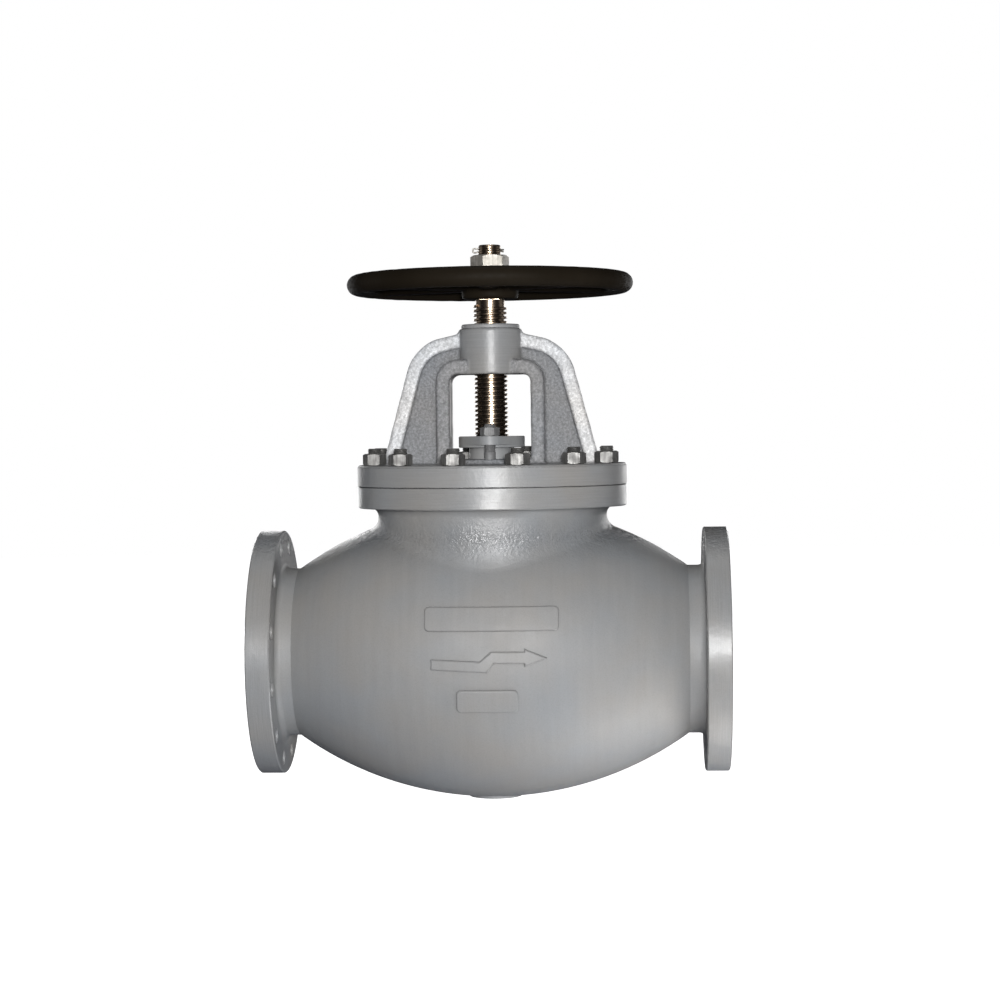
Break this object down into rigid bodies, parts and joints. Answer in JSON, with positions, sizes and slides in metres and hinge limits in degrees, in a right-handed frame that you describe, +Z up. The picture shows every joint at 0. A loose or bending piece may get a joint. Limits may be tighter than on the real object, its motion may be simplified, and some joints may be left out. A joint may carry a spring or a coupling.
{
  "type": "globe valve",
  "caption": "Flanged globe valve with bolted bonnet, outside yoke, threaded rising stem and rising handwheel that lifts a plug disc off its seat.",
  "frame": {"origin": "centre of the inlet flange's raised face", "axes": "+X along the flow to the outlet, +Z up the stem to the handwheel, -Y the front with the flow arrow"},
  "size_m": [0.83, 0.5195, 0.9745],
  "materials": {
    "painted_casting": "grey satin paint over sand casting",
    "wheel_casting": "glossy black enamel",
    "bronze": "machined bronze",
    "painted_bronze": "grey satin paint",
    "stem_bronze": "dark, oiled, turned",
    "plated_steel": "dull plated",
    "gasket": "compressed fibre sheet",
    "packing": "graphite braid"
  },
  "bodies": {
    "valve_body": {"body_casting": "painted_casting", "seat_ring": "bronze", "bonnet_gasket": "gasket", "bonnet_casting": "painted_casting", "bonnet_studs": "plated_steel", "bonnet_nuts": "plated_steel", "back_seat_bush": "bronze", "packing_seat_ring": "bronze", "packing_rings": "packing", "packing_gland": "painted_casting", "gland_studs": "plated_steel", "gland_nuts": "plated_steel", "yoke_bush": "painted_bronze", "bush_lock_screw": "plated_steel"},
    "disc_assembly": {"disc": "bronze", "disc_nut": "bronze", "disc_nut_lock_screw": "plated_steel", "thrust_pad": "plated_steel"},
    "stem_assembly": {"stem": "stem_bronze", "handwheel": "wheel_casting", "handwheel_washer": "plated_steel", "handwheel_nut": "plated_steel", "split_pin": "plated_steel"}
  },
  "joints": [
    {"name": "stem_lift", "type": "slide", "parent": "valve_body", "child": "disc_assembly", "axis": [0, 0, 1], "range_m": [0, 0.0722]},
    {"name": "handwheel_turn", "type": "hinge", "parent": "disc_assembly", "child": "stem_assembly", "pos_m": [0.415, 0, 0.647], "axis": [0, 0, 1], "range_deg": [0, 3240]}
  ],
  "couplings": [
    {"joint": "stem_lift", "follows": "handwheel_turn", "m_per_rad": 0.0012732}
  ]
}
